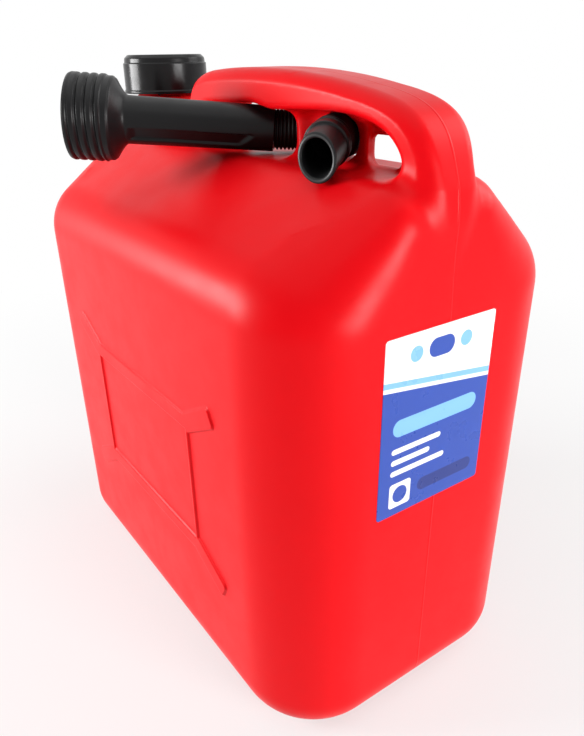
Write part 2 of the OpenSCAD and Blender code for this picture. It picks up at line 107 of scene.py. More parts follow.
RING_R, RING_L, NOZZLE_R, NOZZLE_L, NOZZLE_WALL = 12.9, 5.0, 11.6, 18.0, 2.6
TIP_HEADING, TIP_RISE = math.radians(-72.0), math.radians(8.5)
LEVEL_Z, SPOUT_RISE, DIP_L = RIDGE_Z + 1.2 + BELLOWS_R, 2.0, 10.0
BEND_L = BEND_R * (TUBE_HEADING - NOZZLE_HEADING)
BELLOWS_L = BELLOWS_IN + BEND_L + BELLOWS_OUT

# Inside of the collar, from the tube's bore back to the mouth: length from the mouth and radius
COLLAR_INSIDE = ((29.0, TUBE_BORE_R), (23.0, 19.6), (23.0, 23.1), (20.5, 23.1), (20.5, 23.6),
                 (0.6, 23.6), (0.0, 24.2))

# Label's lower left corner in metres, and the softness of printed edges in millimetres
LABEL_LEFT, LABEL_LOW, PRINT_SOFT = -0.0450, 0.1610, 0.12

# Colours between which a finish is mottled
RED_TONES = (0.72, 0.0015, 0.0045, 1), (0.80, 0.0025, 0.0070, 1)
BLACK_TONES = (0.0050, 0.0050, 0.0055, 1), (0.0085, 0.0085, 0.0090, 1)
RUBBER_TONES = (0.018, 0.018, 0.019, 1), (0.030, 0.030, 0.031, 1)

# Stage, in metres: half the floor and its grey, the distances between which the floor turns from
# a least share of plain white to all of it, and the room's strength as light and as background
FLOOR_HALF, FLOOR_GREY = 8.0, (0.82, 0.82, 0.82, 1)
WHITE_NEAR, WHITE_FAR, WHITE_LEAST = 0.25, 0.9, 0.62
ROOM_LIGHT, ROOM_WHITE = 0.05, 1.0

# Lamps, in metres and watts: name, place, aim, size and power
LAMPS = (
    ("side_box", (-0.88, -1.22, 0.55), (0.0, 0.0, 0.25), (0.8, 0.5), 31.0),
    ("end_box", (1.49, 0.28, 0.42), (0.1, 0.0, 0.25), (0.6, 0.4), 20.0),
    ("back_box", (0.45, 1.30, 1.05), (0.0, 0.0, 0.2), (1.0, 0.9), 11.0),
    ("top_box", (0.0, -0.1, 1.9), (0.0, 0.0, 0.3), (2.2, 2.2), 14.0),
)

# Camera: place in metres, the directions right, up and back, and sensor and lens in millimetres
CAMERA_PLACE = (0.40768, -0.25832, 0.39816)
CAMERA_TURN = (0.5775, 0.8163, -0.0143), (-0.3338, 0.2520, 0.9084), (0.7451, -0.5198, 0.4179)
SENSOR, LENS = 36.0, 33.43


def smooth_step(low, high, value):
    t = np.clip((value - low) / (high - low), 0.0, 1.0)
    return t * t * (3.0 - 2.0 * t)


def soft_union(a, b, radius):
    """Lower of two distances, with a fillet of about that radius where they meet."""
    near = np.maximum(radius - np.abs(a - b), 0.0) / radius
    return np.minimum(a, b) - near * near * radius / 4.0


def soft_cut(a, b, radius):
    """Solid a without solid b, with a rounded edge."""
    return -soft_union(-a, b, radius)


# The shell is the hull of three rounded corner forms in each quarter:
# middle (x, y, z), flat radius and ball radius
CORNERS = (
    (HALF_L - EDGE_R - DRAFT, HALF_W - EDGE_R - DRAFT, BASE_R, EDGE_R - BASE_R, BASE_R),
    (HALF_L - EDGE_R, HALF_W - EDGE_R, SHOULDER_C, EDGE_R - SHOULDER_R, SHOULDER_R),
    (HALF_L - RIDGE_BACK - RIDGE_R, RIDGE_FLAT, RIDGE_Z - RIDGE_R, 0.0, RIDGE_R),
)


def beyond_plane(x, y, z, heading, tilt):
    """Distance of points past the shell's supporting plane in a direction."""
    level, rise = np.cos(tilt), np.sin(tilt)
    ahead, aside = level * np.cos(heading), level * np.sin(heading)
    reach = np.maximum.reduce([
        cx * ahead + cy * aside + level * flat + cz * rise + ball
        for cx, cy, cz, flat, ball in CORNERS])
    return x * ahead + y * aside + z * rise - reach


def shell_aim(points):
    """Direction, to within a few degrees, of the supporting plane nearest to each point."""
    x, y, z = np.abs(points[:, 0]), np.abs(points[:, 1]), points[:, 2]
    best = np.full(len(x), -1e9)
    heading, tilt = np.zeros(len(x)), np.zeros(len(x))
    for h in np.radians(np.arange(0, 91, 6)):
        for t in np.radians(np.arange(-90, 91, 6)):
            d = beyond_plane(x, y, z, h, t)
            better = d > best
            best[better] = d[better]
            heading[better] = h
            tilt[better] = t
    return heading, tilt


def shell_distance(points, aim, finest=0.0006):
    """Signed distance to the shell, refined from a first aim."""
    x, y, z = np.abs(points[:, 0]), np.abs(points[:, 1]), points[:, 2]
    heading, tilt = aim[0].copy(), aim[1].copy()
    best = beyond_plane(x, y, z, heading, tilt)
    step = math.radians(4.0)
    while step > finest:
        for dh, dt in ((1, 0), (-1, 0), (0, 1), (0, -1), (1, 1), (1, -1), (-1, 1), (-1, -1)):
            h = np.clip(heading + step * dh, 0.0, math.pi / 2)
            t = np.clip(tilt + step * dt, -math.pi / 2, math.pi / 2)
            d = beyond_plane(x, y, z, h, t)
            better = d > best
            best = np.where(better, d, best)
            heading = np.where(better, h, heading)
            tilt = np.where(better, t, tilt)
        step *= 0.5
    return best


def bezier(p, t):
    p = [np.array(q, float) for q in p]
    t = np.asarray(t, float)[:, None]
    return ((1 - t) ** 3 * p[0] + 3 * (1 - t) ** 2 * t * p[1]
            + 3 * (1 - t) * t ** 2 * p[2] + t ** 3 * p[3])


def grip_under(line, t):
    """Underside of the grip, which sags past the place where the tube goes under it."""
    sag = smooth_step(0.38, 0.54, t) * smooth_step(1.0, 0.5, t)
    return bezier(line, t) - GRIP_SAG * np.stack([np.zeros(len(t)), sag], 1)


def handle_stations():
    """Outer and inner line of the handle in the XZ plane, with its half width and outer edge
    radius, and the control points of the inner line over the grip and the rear post."""
    end_x, root_top = HALF_L - 60.5, RIDGE_Z + 11.5
    front_out = [(FRONT_X, root_top), (FRONT_X, HANDLE_TOP - 16),
                 (FRONT_X + 9, HANDLE_TOP - 3.4), (FRONT_X + 38, HANDLE_TOP - 1.8)]
    grip_out = [front_out[3], (PILLAR_X - 51, HANDLE_TOP + 1.1), (PILLAR_X + 9, HANDLE_TOP + 1.3),
                (end_x, HANDLE_TOP - REAR_DROP)]
    rear_out = [grip_out[3], (HALF_L - 19.5, HANDLE_TOP - REAR_DROP - 6), (HALF_L - 10, HANDLE_TOP - 21),
                (HALF_L - 2, RIDGE_Z - 3)]
    in_x = FRONT_X + ROOT_L
    front_in = [(in_x, root_top), (in_x, RIDGE_Z + 22), (in_x + 5, GRIP_Z - 3),
                (in_x + 20, GRIP_Z - 2.7)]
    grip_in = [front_in[3], (PILLAR_X - 51, GRIP_Z - 1.2), (PILLAR_X + 9, GRIP_Z + 2.2),
               (end_x, GRIP_Z - REAR_DROP + 5)]
    drop = grip_in[3][1]
    rear_in = [grip_in[3], (HALF_L - 39, drop - 2.7), (HALF_L - POST_T - 3, drop - 7),
               (HALF_L - POST_T - 2, RIDGE_Z)]
    run = np.linspace(0, 1, 45)
    rows = [((FRONT_X, RIDGE_Z - 12), (in_x, RIDGE_Z - 12), HANDLE_W / 2, ROOT_R)]
    for t, o, i in zip(run, bezier(front_out, run), bezier(front_in, run)):
        rows.append((o, i, HANDLE_W / 2, ROOT_R + (R_OUT - ROOT_R) * min(1.0, t * 1.6)))
    for o, i in zip(bezier(grip_out, run)[1:], grip_under(grip_in, run)[1:]):
        rows.append((o, i, HANDLE_W / 2, R_OUT))
    for t, o, i in zip(run[1:], bezier(rear_out, run)[1:], bezier(rear_in, run)[1:]):
        rows.append((o, i, HANDLE_W / 2 * (1 - 0.2 * t ** 3), R_OUT))
    for depth in np.linspace(2.0, 40.0, 20):
        share = np.interp(depth, (0.0, 20.0, 40.0), (0.8, 0.62, 0.5))
        o, i = [(line[3][0], line[3][1] - depth) for line in (rear_out, rear_in)]
        rows.append((o, i, HANDLE_W / 2 * share, R_OUT))
    return [np.array(v) for v in (*zip(*rows), grip_in, rear_in)]


def segment_distance(p, a, b, low=0.0, high=1.0):
    """Distance from points to a stretch of a line, from one share of the way a to b to another."""
    ab = b - a
    t = np.clip(((p - a) @ ab) / max(ab @ ab, 1e-9), low, high)
    return np.hypot(p[:, 0] - a[0] - t * ab[0], p[:, 1] - a[1] - t * ab[1])


def line_distance(p, line):
    """Distance from points to an open line in the plane."""
    best = np.full(len(p), 1e9)
    for a, b in zip(line[:-1], line[1:]):
        best = np.minimum(best, segment_distance(p, a, b))
    return best


def inside_outline(p, outline):
    inside = np.zeros(len(p), bool)
    for a, b in zip(outline, np.roll(outline, -1, 0)):
        if abs(a[1] - b[1]) < 1e-9:
            continue
        crosses = (a[1] > p[:, 1]) != (b[1] > p[:, 1])
        at = a[0] + (p[:, 1] - a[1]) / (b[1] - a[1]) * (b[0] - a[0])
        inside ^= crosses & (p[:, 0] < at)
    return inside


def outline_distance(p, outline):
    d = line_distance(p, np.vstack([outline, outline[:1]]))
    return np.where(inside_outline(p, outline), -d, d)


def window_outline():
    """Window in the web: small corners, and a large one below the rear bend."""
    reach, low = WINDOW_L / 2, RIDGE_Z + 0.5
    corners = ((1, -1, WINDOW_R_FRONT, 270), (1, 1, WINDOW_R_REAR, 0),
               (-1, 1, WINDOW_R_FRONT, 90), (-1, -1, WINDOW_R_FRONT, 180))
    line = []
    for across, up, r, first in corners:
        turn = np.radians(np.linspace(first, first + 90, 13))
        middle = (WINDOW_X + across * (reach - r), low + (WINDOW_H - r if up > 0 else r))
        line.append(np.stack([middle[0] + r * np.cos(turn), middle[1] + r * np.sin(turn)], 1))
    return np.vstack(line)


class HandleSheet:
    """Side view of the handle and the web, sampled on a fine sheet in the XZ plane."""

    step = 0.7

    def __init__(self):
        outer, inner, half, edge, grip_in, rear_in = handle_stations()
        self.low = np.array([-92.0, 288.0])
        self.count = np.array([420, 168])
        gx, gz = np.meshgrid(np.arange(self.count[0]), np.arange(self.count[1]), indexing="ij")
        p = self.low + self.step * np.stack([gx.ravel(), gz.ravel()], 1)
        solid = outline_distance(p, np.vstack([outer, inner[::-1]]))
        to_outer, to_inner = line_distance(p, outer), line_distance(p, inner)
        share = smooth_step(0.2, 0.8, to_outer / (to_outer + to_inner + 1e-6))
        place = self.station_of(p, outer, inner)
        run = np.arange(len(half))
        width = np.interp(place, run, half)
        radius = np.interp(place, run, edge) * (1 - share) + R_IN * share
        t = np.linspace(0.4, 1, 25)
        lid = np.vstack([grip_under(grip_in, t) + [0, 6],
                         bezier(rear_in, np.linspace(0.04, 1, 25)) + [6, 2]])
        lid = lid[lid[:, 0] > PILLAR_X + 1]
        wall = np.vstack([[[PILLAR_X, RIDGE_Z - 8], [PILLAR_X, GRIP_Z + 6]], lid,
                          [[HALF_L - POST_T + 4, RIDGE_Z - 8]]])
        web = outline_distance(p, wall)
        web = np.maximum(web, -outline_distance(p, window_outline()))
        self.layers = np.stack([v.reshape(self.count) for v in (solid, width, radius, web)], -1)

    @staticmethod
    def station_of(p, outer, inner):
        """Place along the handle as a station number with a fraction."""
        reach = np.empty((len(p), len(outer)), np.float32)
        for k, (a, b) in enumerate(zip(outer, inner)):
            reach[:, k] = segment_distance(p, a, b, -0.6, 1.6)
        k = reach.argmin(1)
        rows = np.arange(len(p))
        here = reach[rows, k]
        last = len(outer) - 1
        before = reach[rows, np.maximum(k - 1, 0)]
        after = reach[rows, np.minimum(k + 1, last)]
        ahead = after < before
        other = np.where(ahead, after, before)
        return k + np.where(ahead, 1.0, -1.0) * here / (here + other + 1e-6)

    def read(self, x, z):
        u = np.clip((x - self.low[0]) / self.step, 0.0, self.count[0] - 1.001)
        v = np.clip((z - self.low[1]) / self.step, 0.0, self.count[1] - 1.001)
        i, j = u.astype(int), v.astype(int)
        fu, fv = (u - i)[:, None], (v - j)[:, None]
        a = self.layers[i, j] * (1 - fu) + self.layers[i + 1, j] * fu
        b = self.layers[i, j + 1] * (1 - fu) + self.layers[i + 1, j + 1] * fu
        return (a * (1 - fv) + b * fv).T


def corner_distance(a, b):
    """Distance to the solid below two levels that meet at a square corner."""
    return np.hypot(np.maximum(a, 0.0), np.maximum(b, 0.0)) + np.minimum(np.maximum(a, b), 0.0)


def rounded_slab(outline, depth, radius):
    """Solid of an outline's distance and a depth past its faces, with rounded edges."""
    a, b = outline + radius, depth + radius
    return corner_distance(a, b) - radius


def spout_plan(s):
    """Bellows seen from above: straight, then round the pillar, then straight again."""
    since, past = s - BELLOWS_IN, s - BELLOWS_IN - BEND_L
    h = TUBE_HEADING - min(max(since, 0.0), BEND_L) / BEND_R
    on = min(since, 0.0) + max(past, 0.0)
    return (PILLAR_X - BEND_R * math.sin(h) + on * math.cos(h),
            BEND_R * math.cos(h) + on * math.sin(h))


def spout_point(s):
    """Middle of the bellows at length s from its start."""
    lead = max(0.0, 1.0 - s / BELLOWS_IN)
    dip = max(0.0, 1.0 - (BELLOWS_L - s) / DIP_L)
    z = (LEVEL_Z + SPOUT_RISE * s / BELLOWS_L + BELLOWS_IN * math.tan(TUBE_SLOPE) / 2 * lead * lead
         - DIP_L * math.tan(NOZZLE_SLOPE) / 2 * dip * dip)
    return np.array([*spout_plan(s), z])


def aim_of(heading, slope):
    level = math.cos(slope)
    return np.array([level * math.cos(heading), level * math.sin(heading), -math.sin(slope)])


sheet = HandleSheet()
WEB_HOLE = spout_point(BELLOWS_IN + BEND_L)
WEB_HOLE_AIM = aim_of(NOZZLE_HEADING, 0.0)
WEB_HOLE_R = BELLOWS_R + WEB_GAP + SPOUT_RISE / 2


def box_outline(a, b, half_a, half_b, corner):
    """Distance to a rounded rectangle round the origin."""
    da, db = np.abs(a) - half_a + corner, np.abs(b) - half_b + corner
    return corner_distance(da, db) - corner


def band_outline(x, z):
    """Distance to the raised frame drawn on a long side, negative on its bands, ribs and ears."""
    u, v = np.abs(x - FRAME_X), np.abs(z - FRAME_Z)
    rib_u, band_v = (FRAME_L - RIB_W) / 2, (FRAME_H - BAND_W) / 2
    band = box_outline(u, v - band_v, FRAME_L / 2, BAND_W / 2, BAND_CORNER)
    rib = box_outline(u - rib_u, v, RIB_W / 2, FRAME_H / 2, BAND_CORNER)
    along = (u - rib_u) * math.cos(EAR_TURN) + (v - band_v) * math.sin(EAR_TURN)
    aside = (v - band_v) * math.cos(EAR_TURN) - (u - rib_u) * math.sin(EAR_TURN)
    back = EAR_W / 4
    ear = box_outline(along - (EAR_L - back) / 2, aside, (EAR_L + back) / 2, EAR_W / 2, EAR_CORNER)
    return np.minimum(np.minimum(band, rib), ear)


def tank_distance(points, aim):
    """Signed distance to the whole moulding, with fillets where its parts run into each other."""
    x, y, z = points.T
    on_side = smooth_step(SIDE_FROM, SIDE_FULL, np.abs(y))
    raised = smooth_step(BAND_EDGE, -BAND_EDGE, band_outline(x, z)) * on_side
    body = shell_distance(points, aim) - BAND_PROUD * raised
    bar, width, radius, web_outline = sheet.read(x, z)
    handle = rounded_slab(bar, np.abs(y) - width, radius)
    fillet = HANDLE_FILLET_LOW + HANDLE_FILLET_MORE * smooth_step(*HANDLE_FILLET_Z, z)
    solid = soft_union(body, handle, fillet)
    dx, dy = (x - PILLAR_X) / (PILLAR_L / 2), y / (PILLAR_D / 2)
    reach = np.hypot(dx, dy)
    slope = np.hypot(dx / (PILLAR_L / 2), dy / (PILLAR_D / 2))
    pillar = reach * (reach - 1.0) / np.maximum(slope, 1e-6)
    pillar = np.maximum(pillar, np.maximum(RIDGE_Z - PILLAR_ROOT - z, z - GRIP_Z - 8))
    solid = soft_union(solid, pillar, PILLAR_FILLET)
    web = rounded_slab(web_outline, np.abs(y) - WEB_T / 2, WEB_EDGE)
    off = points - WEB_HOLE
    along = off @ WEB_HOLE_AIM
    beside = off[:, 0] * -WEB_HOLE_AIM[1] + off[:, 1] * WEB_HOLE_AIM[0]
    wide = WEB_HOLE_R + CRADLE_T * math.sin(-NOZZLE_HEADING)
    cradle = rounded_slab(np.maximum(beside - wide, CRADLE_FROM - beside),
                          np.maximum(-CRADLE_D - y, y), CRADLE_EDGE)
    cradle = np.maximum(cradle, np.maximum(RIDGE_Z - CRADLE_ROOT - z, z - GRIP_Z))
    web = soft_union(web, cradle, CRADLE_FILLET)
    tube = np.linalg.norm(off - along[:, None] * WEB_HOLE_AIM, axis=1)
    web = soft_cut(web, tube - WEB_HOLE_R, HOLE_EDGE)
    solid = soft_union(solid, web, WEB_FILLET)
    clear = np.maximum(np.maximum(tube - (BELLOWS_R + BELLOWS_ROOM), -along), RIDGE_Z + 0.4 - z)
    solid = np.maximum(solid, -clear)
    out = np.hypot(x - NECK_X, y)
    stem = rounded_slab(out - STEM_D / 2, z - (CAP_Z - STEM_DOWN), STEM_EDGE)
    solid = soft_union(solid, np.maximum(stem, RIDGE_Z - STEM_ROOT - z), STEM_FILLET)
    neck = rounded_slab(out - NECK_D / 2, z - NECK_TOP, NECK_EDGE)
    solid = soft_union(solid, np.maximum(neck, RIDGE_Z - z), NECK_FILLET)
    return np.maximum(solid, -np.maximum(out - NECK_BORE / 2, NECK_BORE_FROM - z))


def level_net(field, low, step):
    """Quads along the zero level of a sampled field: one point in each cell that the skin crosses."""
    solid = field < 0
    n = np.array(field.shape) - 1
    corners = [(i, j, k) for i in (0, 1) for j in (0, 1) for k in (0, 1)]
    filled = np.zeros(n, np.int8)
    for i, j, k in corners:
        filled += solid[i:i + n[0], j:j + n[1], k:k + n[2]]
    crossed = (filled > 0) & (filled < 8)
    number = np.full(n, -1)
    number[crossed] = np.arange(crossed.sum())
    cells = np.argwhere(crossed)
    total, hits = np.zeros((len(cells), 3)), np.zeros(len(cells))
    for axis in range(3):
        ahead = np.eye(3, dtype=int)[axis]
        for corner in corners:
            if corner[axis]:
                continue
            a = cells + corner
            b = a + ahead
            fa, fb = field[tuple(a.T)], field[tuple(b.T)]
            cross = (fa < 0) != (fb < 0)
            t = np.where(cross, fa / np.where(cross, fa - fb, 1.0), 0.0)
            total += np.where(cross[:, None], a + t[:, None] * ahead, 0.0)
            hits += cross
    points = low + step * total / hits[:, None]
    quads = []
    for axis in range(3):
        u, v = (axis + 1) % 3, (axis + 2) % 3
        here = np.moveaxis(solid, axis, 0)
        edges = np.argwhere(here[:-1] != here[1:])
        g = np.insert(edges[:, 1:], axis, edges[:, 0], axis=1)
        g = g[(g[:, u] > 0) & (g[:, v] > 0) & (g[:, u] < n[u]) & (g[:, v] < n[v])]
        eu, ev = np.eye(3, dtype=int)[u], np.eye(3, dtype=int)[v]
        ring = np.stack([number[tuple(c.T)] for c in (g, g - eu, g - eu - ev, g - ev)], 1)
        outward = solid[tuple(g.T)]
        ring[~outward] = ring[~outward][:, ::-1]
        quads.append(ring)
    return points, np.vstack(quads)


def grid_places(count):
    """Every place of a grid, as rows of whole numbers."""
    return np.stack(np.meshgrid(*[np.arange(c) for c in count], indexing="ij"), -1).reshape(-1, 3)


def sampled_tank(step):
    """Tank's distance on a grid, worked out in full only where the skin can be."""
    low = np.array([-HALF_L - MARGIN, -HALF_W - MARGIN, -MARGIN])
    size = np.array([2 * (HALF_L + MARGIN), 2 * (HALF_W + MARGIN), NECK_TOP + 2 * MARGIN + 2])
    count = (size / step).astype(int) + 2
    grid = grid_places(count)
    points = low + step * grid
    aim_step = 4
    coarse = (count + aim_step - 1) // aim_step + 1
    heading, tilt = shell_aim(low + step * aim_step * grid_places(coarse))
    x, y, z = np.abs(points[:, 0]), np.abs(points[:, 1]), points[:, 2]
    best = np.full(len(points), -1e9)
    aim = np.zeros(len(points)), np.zeros(len(points))
    for corner in np.argwhere(np.ones((2, 2, 2))):
        spot = np.ravel_multi_index(tuple((grid // aim_step + corner).T), tuple(coarse))
        d = beyond_plane(x, y, z, heading[spot], tilt[spot])
        better = d > best
        best[better] = d[better]
        for kept, found in zip(aim, (heading, tilt)):
            kept[better] = found[spot][better]
    near = np.abs(best) < 6 * step
    near |= (z > RIDGE_Z - 60) & (y < 60)
    field = np.where(best < 0, -FAR, FAR)
    field[near] = tank_distance(points[near], (aim[0][near], aim[1][near]))
    return field.reshape(count), low


def add_object(name, data):
    made = bpy.data.objects.new(name, data)
    bpy.context.scene.collection.objects.link(made)
    return made


def mesh_piece(name, points, faces, finish):
    """Makes a smooth mesh object at the origin from points in millimetres."""
    mesh = bpy.data.meshes.new(name)
    mesh.from_pydata((np.asarray(points) * MM).tolist(), [], [list(map(int, f)) for f in faces])
    mesh.materials.append(finish)
    mesh.shade_smooth()
    return add_object(name, mesh)


def ring_faces(rows, count):
    """Quads between closed rings of points, and from the last ring back to the first."""
    faces = []
    for i in range(rows):
        j = (i + 1) % rows
        for k in range(count):
            l = (k + 1) % count
            faces.append((i * count + k, i * count + l, j * count + l, j * count + k))
    return faces


SLANTS = np.array([(1, 1, 1), (1, -1, -1), (-1, 1, -1), (-1, -1, 1)], float) / math.sqrt(3.0)


def tank_slope(points, aim, reach):
    """Mean distance round each point and the direction in which it grows."""
    values = np.stack([tank_distance(points + reach * s, aim) for s in SLANTS], 1)
    slope = values @ SLANTS * (3.0 / (4.0 * reach))
    return values.mean(1), slope


def plain_share(points):
    """One on the open shell, falling to nothing near the handle, the neck and the raised frames."""
    x, y, z = points.T
    bar, width, radius, _ = sheet.read(x, z)
    handle = rounded_slab(bar, np.abs(y) - width, radius)
    stem = np.hypot(x - NECK_X, y) - STEM_D / 2
    open_shell = smooth_step(14.0, 30.0, handle) * smooth_step(14.0, 30.0, stem)
    off_frame = smooth_step(8.0, 18.0, band_outline(x, z))
    return open_shell * np.maximum(off_frame, smooth_step(SIDE_FULL, 84.0, np.abs(y)))


def moulded_tank(finish):
    """Tank as one skin: a net along the zero level, finer at details, then settled on that level."""
    field, low = sampled_tank(CELL)
    points, quads = level_net(field, low, CELL)
    mesh = bpy.data.meshes.new("rough")
    mesh.from_pydata(points.tolist(), [], quads.tolist())
    bm = bmesh.new()
    bm.from_mesh(mesh)
    bmesh.ops.triangulate(bm, faces=bm.faces[:])
    for longest, beside, handle_too in ((2.0, 3.2, True), (1.2, 2.4, False)):
        middles = np.array([(e.verts[0].co + e.verts[1].co) / 2 for e in bm.edges])
        lengths = np.array([e.calc_length() for e in bm.edges])
        line = np.abs(band_outline(middles[:, 0], middles[:, 2]))
        pick = (np.abs(middles[:, 1]) > SIDE_FLAT) & (line < beside)
        if handle_too:
            pick |= middles[:, 2] > RIDGE_Z + 1.5
        chosen = [e for e, p, l in zip(bm.edges, pick, lengths) if p and l > longest]
        bmesh.ops.subdivide_edges(bm, edges=chosen, cuts=1, use_grid_fill=False)
        bmesh.ops.triangulate(bm, faces=bm.faces[:])
    bm.to_mesh(mesh)
    bm.free()
    points = np.array([v.co for v in mesh.vertices], float)
    faces = np.array([p.vertices[:] for p in mesh.polygons])
    bpy.data.meshes.remove(mesh)
    aim = shell_aim(points)
    for _ in range(3):
        distance, slope = tank_slope(points, aim, NET_REACH)
        size = np.maximum(np.einsum("ij,ij->i", slope, slope), 0.25)
        move = distance / size
        points = points - slope * np.clip(move, -2.0, 2.0)[:, None]
    plain = plain_share(points)[:, None]
    near, wide = [tank_slope(points, aim, reach)[1] for reach in (DETAIL_REACH, SHELL_REACH)]
    slope = near * (1 - plain) + wide * plain
    normals = slope / np.maximum(np.linalg.norm(slope, axis=1), 1e-6)[:, None]
    piece = mesh_piece("can_body", points, faces, finish)
    piece.data.normals_split_custom_set_from_vertices(normals.tolist())
    return piece


def turned(name, profile, finish, base, axis, count, slant=None):
    """Turns a closed profile of (radius, height) points round an axis. A slant is the
    normal of a cut and the height above which rows are leaned to lie along it."""
    axis = np.asarray(axis, float) / np.linalg.norm(axis)
    side = np.cross([0.0, 0.0, 1.0], axis)
    side = np.array([1.0, 0.0, 0.0]) if np.linalg.norm(side) < 1e-6 else side / np.linalg.norm(side)
    other = np.cross(axis, side)
    angles = np.arange(count) * 2 * math.pi / count
    ring = np.cos(angles)[:, None] * side + np.sin(angles)[:, None] * other
    lean = np.zeros(count) if slant is None else -(ring @ slant[0]) / (axis @ slant[0])
    above = 1e9 if slant is None else slant[1]
    points = np.vstack([base + (h + r * lean * (h > above))[:, None] * axis + r * ring
                        for r, h in profile])
    piece = mesh_piece(name, points, ring_faces(len(profile), count), finish)
    tidy_mesh(piece.data)
    return piece


def tidy_mesh(mesh):
    """Joins doubled points, drops faces without area and turns all faces outward."""
    bm = bmesh.new()
    bm.from_mesh(mesh)
    bmesh.ops.remove_doubles(bm, verts=bm.verts[:], dist=1e-6)
    bmesh.ops.dissolve_degenerate(bm, edges=bm.edges[:], dist=1e-7)
    bmesh.ops.recalc_face_normals(bm, faces=bm.faces[:])
    bm.to_mesh(mesh)
    bm.free()


def rounded_line(corners, steps=5):
    """Closed outline through (r, z, fillet radius) corners with arcs at the corners."""
    p = np.array([c[:2] for c in corners], float)
    line = []
    for k, (here, size) in enumerate(zip(p, [c[2] for c in corners])):
        a, b = p[k - 1] - here, p[(k + 1) % len(p)] - here
        la, lb = np.linalg.norm(a), np.linalg.norm(b)
        if size <= 0 or la < 1e-6 or lb < 1e-6:
            line.append(here)
            continue
        a, b = a / la, b / lb
        half = math.acos(max(-1.0, min(1.0, float(a @ b)))) / 2
        back = min(size / math.tan(half), la * 0.49, lb * 0.49)
        start, end = here + a * back, here + b * back
        for t in np.linspace(0, 1, steps + 1):
            line.append((1 - t) ** 2 * start + 2 * t * (1 - t) * here + t * t * end)
    return line


def math_node(tree, operation, *values, clamp=False):
    made = tree.nodes.new("ShaderNodeMath")
    made.operation = operation
    made.use_clamp = clamp
    for socket, value in zip(made.inputs, values):
        if isinstance(value, (int, float)):
            socket.default_value = value
        else:
            tree.links.new(value, socket)
    return made.outputs[0]


def ramp_node(tree, value, low, high, to_low, to_high):
    made = tree.nodes.new("ShaderNodeMapRange")
    made.interpolation_type = "SMOOTHSTEP"
    tree.links.new(value, made.inputs[0])
    for socket, number in zip(list(made.inputs)[1:5], (low, high, to_low, to_high)):
        socket.default_value = number
    return made.outputs[0]


def noise_node(tree, vector, scale, detail=2.0, roughness=0.5):
    made = tree.nodes.new("ShaderNodeTexNoise")
    made.inputs["Scale"].default_value = scale
    made.inputs["Detail"].default_value = detail
    made.inputs["Roughness"].default_value = roughness
    tree.links.new(vector, made.inputs["Vector"])
    return made.outputs["Fac"]


def mix_colours(tree, factor, first, second):
    made = tree.nodes.new("ShaderNodeMix")
    made.data_type = "RGBA"
    for socket, value in ((made.inputs[0], factor), (made.inputs[6], first), (made.inputs[7], second)):
        if isinstance(value, bpy.types.NodeSocket):
            tree.links.new(value, socket)
        else:
            socket.default_value = value
    return made.outputs[2]


def bump_node(tree, height, strength, distance, normal=None):
    made = tree.nodes.new("ShaderNodeBump")
    made.inputs["Strength"].default_value = strength
    made.inputs["Distance"].default_value = distance
    tree.links.new(height, made.inputs["Height"])
    if normal is not None:
        tree.links.new(normal, made.inputs["Normal"])
    return made.outputs["Normal"]


def new_finish(name):
    finish = bpy.data.materials.new(name)
    finish.use_nodes = True
    tree = finish.node_tree
    coords = tree.nodes.new("ShaderNodeTexCoord").outputs["Object"]
    return finish, tree, tree.nodes["Principled BSDF"], coords


def wire(tree, shader, colour, roughness, normal):
    for name, value in (("Base Color", colour), ("Roughness", roughness), ("Normal", normal)):
        tree.links.new(value, shader.inputs[name])


def red_plastic():
    """Blow-moulded polyethylene: satin red with a fine skin and a parting line."""
    finish, tree, shader, coords = new_finish("red_polyethylene")
    tone = noise_node(tree, coords, 7.0, 3.0)
    cloud = noise_node(tree, coords, 38.0, 4.0, 0.6)
    shader.inputs["IOR"].default_value = 1.48
    shader.inputs["Specular IOR Level"].default_value = 0.12
    split = tree.nodes.new("ShaderNodeSeparateXYZ")
    tree.links.new(coords, split.inputs[0])
    off = math_node(tree, "ABSOLUTE", split.outputs["Y"])
    seam = ramp_node(tree, off, 0.0002, 0.0009, 1.0, 0.0)
    skin = noise_node(tree, coords, 140.0, 1.0, 0.4)
    normal = bump_node(tree, skin, 0.02, 0.0008)
    wire(tree, shader, mix_colours(tree, tone, *RED_TONES),
         ramp_node(tree, cloud, 0.3, 0.7, 0.32, 0.39), bump_node(tree, seam, 0.55, 0.00045, normal))
    return finish


def black_plastic(name, low, high, grain):
    """Black moulded plastic with an uneven gloss, from a low to a high roughness."""
    finish, tree, shader, coords = new_finish(name)
    tone = noise_node(tree, coords, 30.0, 3.0)
    cloud = noise_node(tree, coords, 70.0, 4.0, 0.6)
    shader.inputs["Specular IOR Level"].default_value = 0.18
    skin = noise_node(tree, coords, grain, 2.0, 0.5)
    wire(tree, shader, mix_colours(tree, tone, *BLACK_TONES),
         ramp_node(tree, cloud, 0.3, 0.7, low, high), bump_node(tree, skin, 0.06, 0.0004))
    return finish


def gasket_rubber():
    finish, tree, shader, coords = new_finish("gasket_rubber")
    tone = noise_node(tree, coords, 120.0, 3.0)
    grain = noise_node(tree, coords, 1800.0)
    wire(tree, shader, mix_colours(tree, tone, *RUBBER_TONES),
         ramp_node(tree, tone, 0.2, 0.8, 0.62, 0.78), bump_node(tree, grain, 0.12, 0.0002))
    return finish


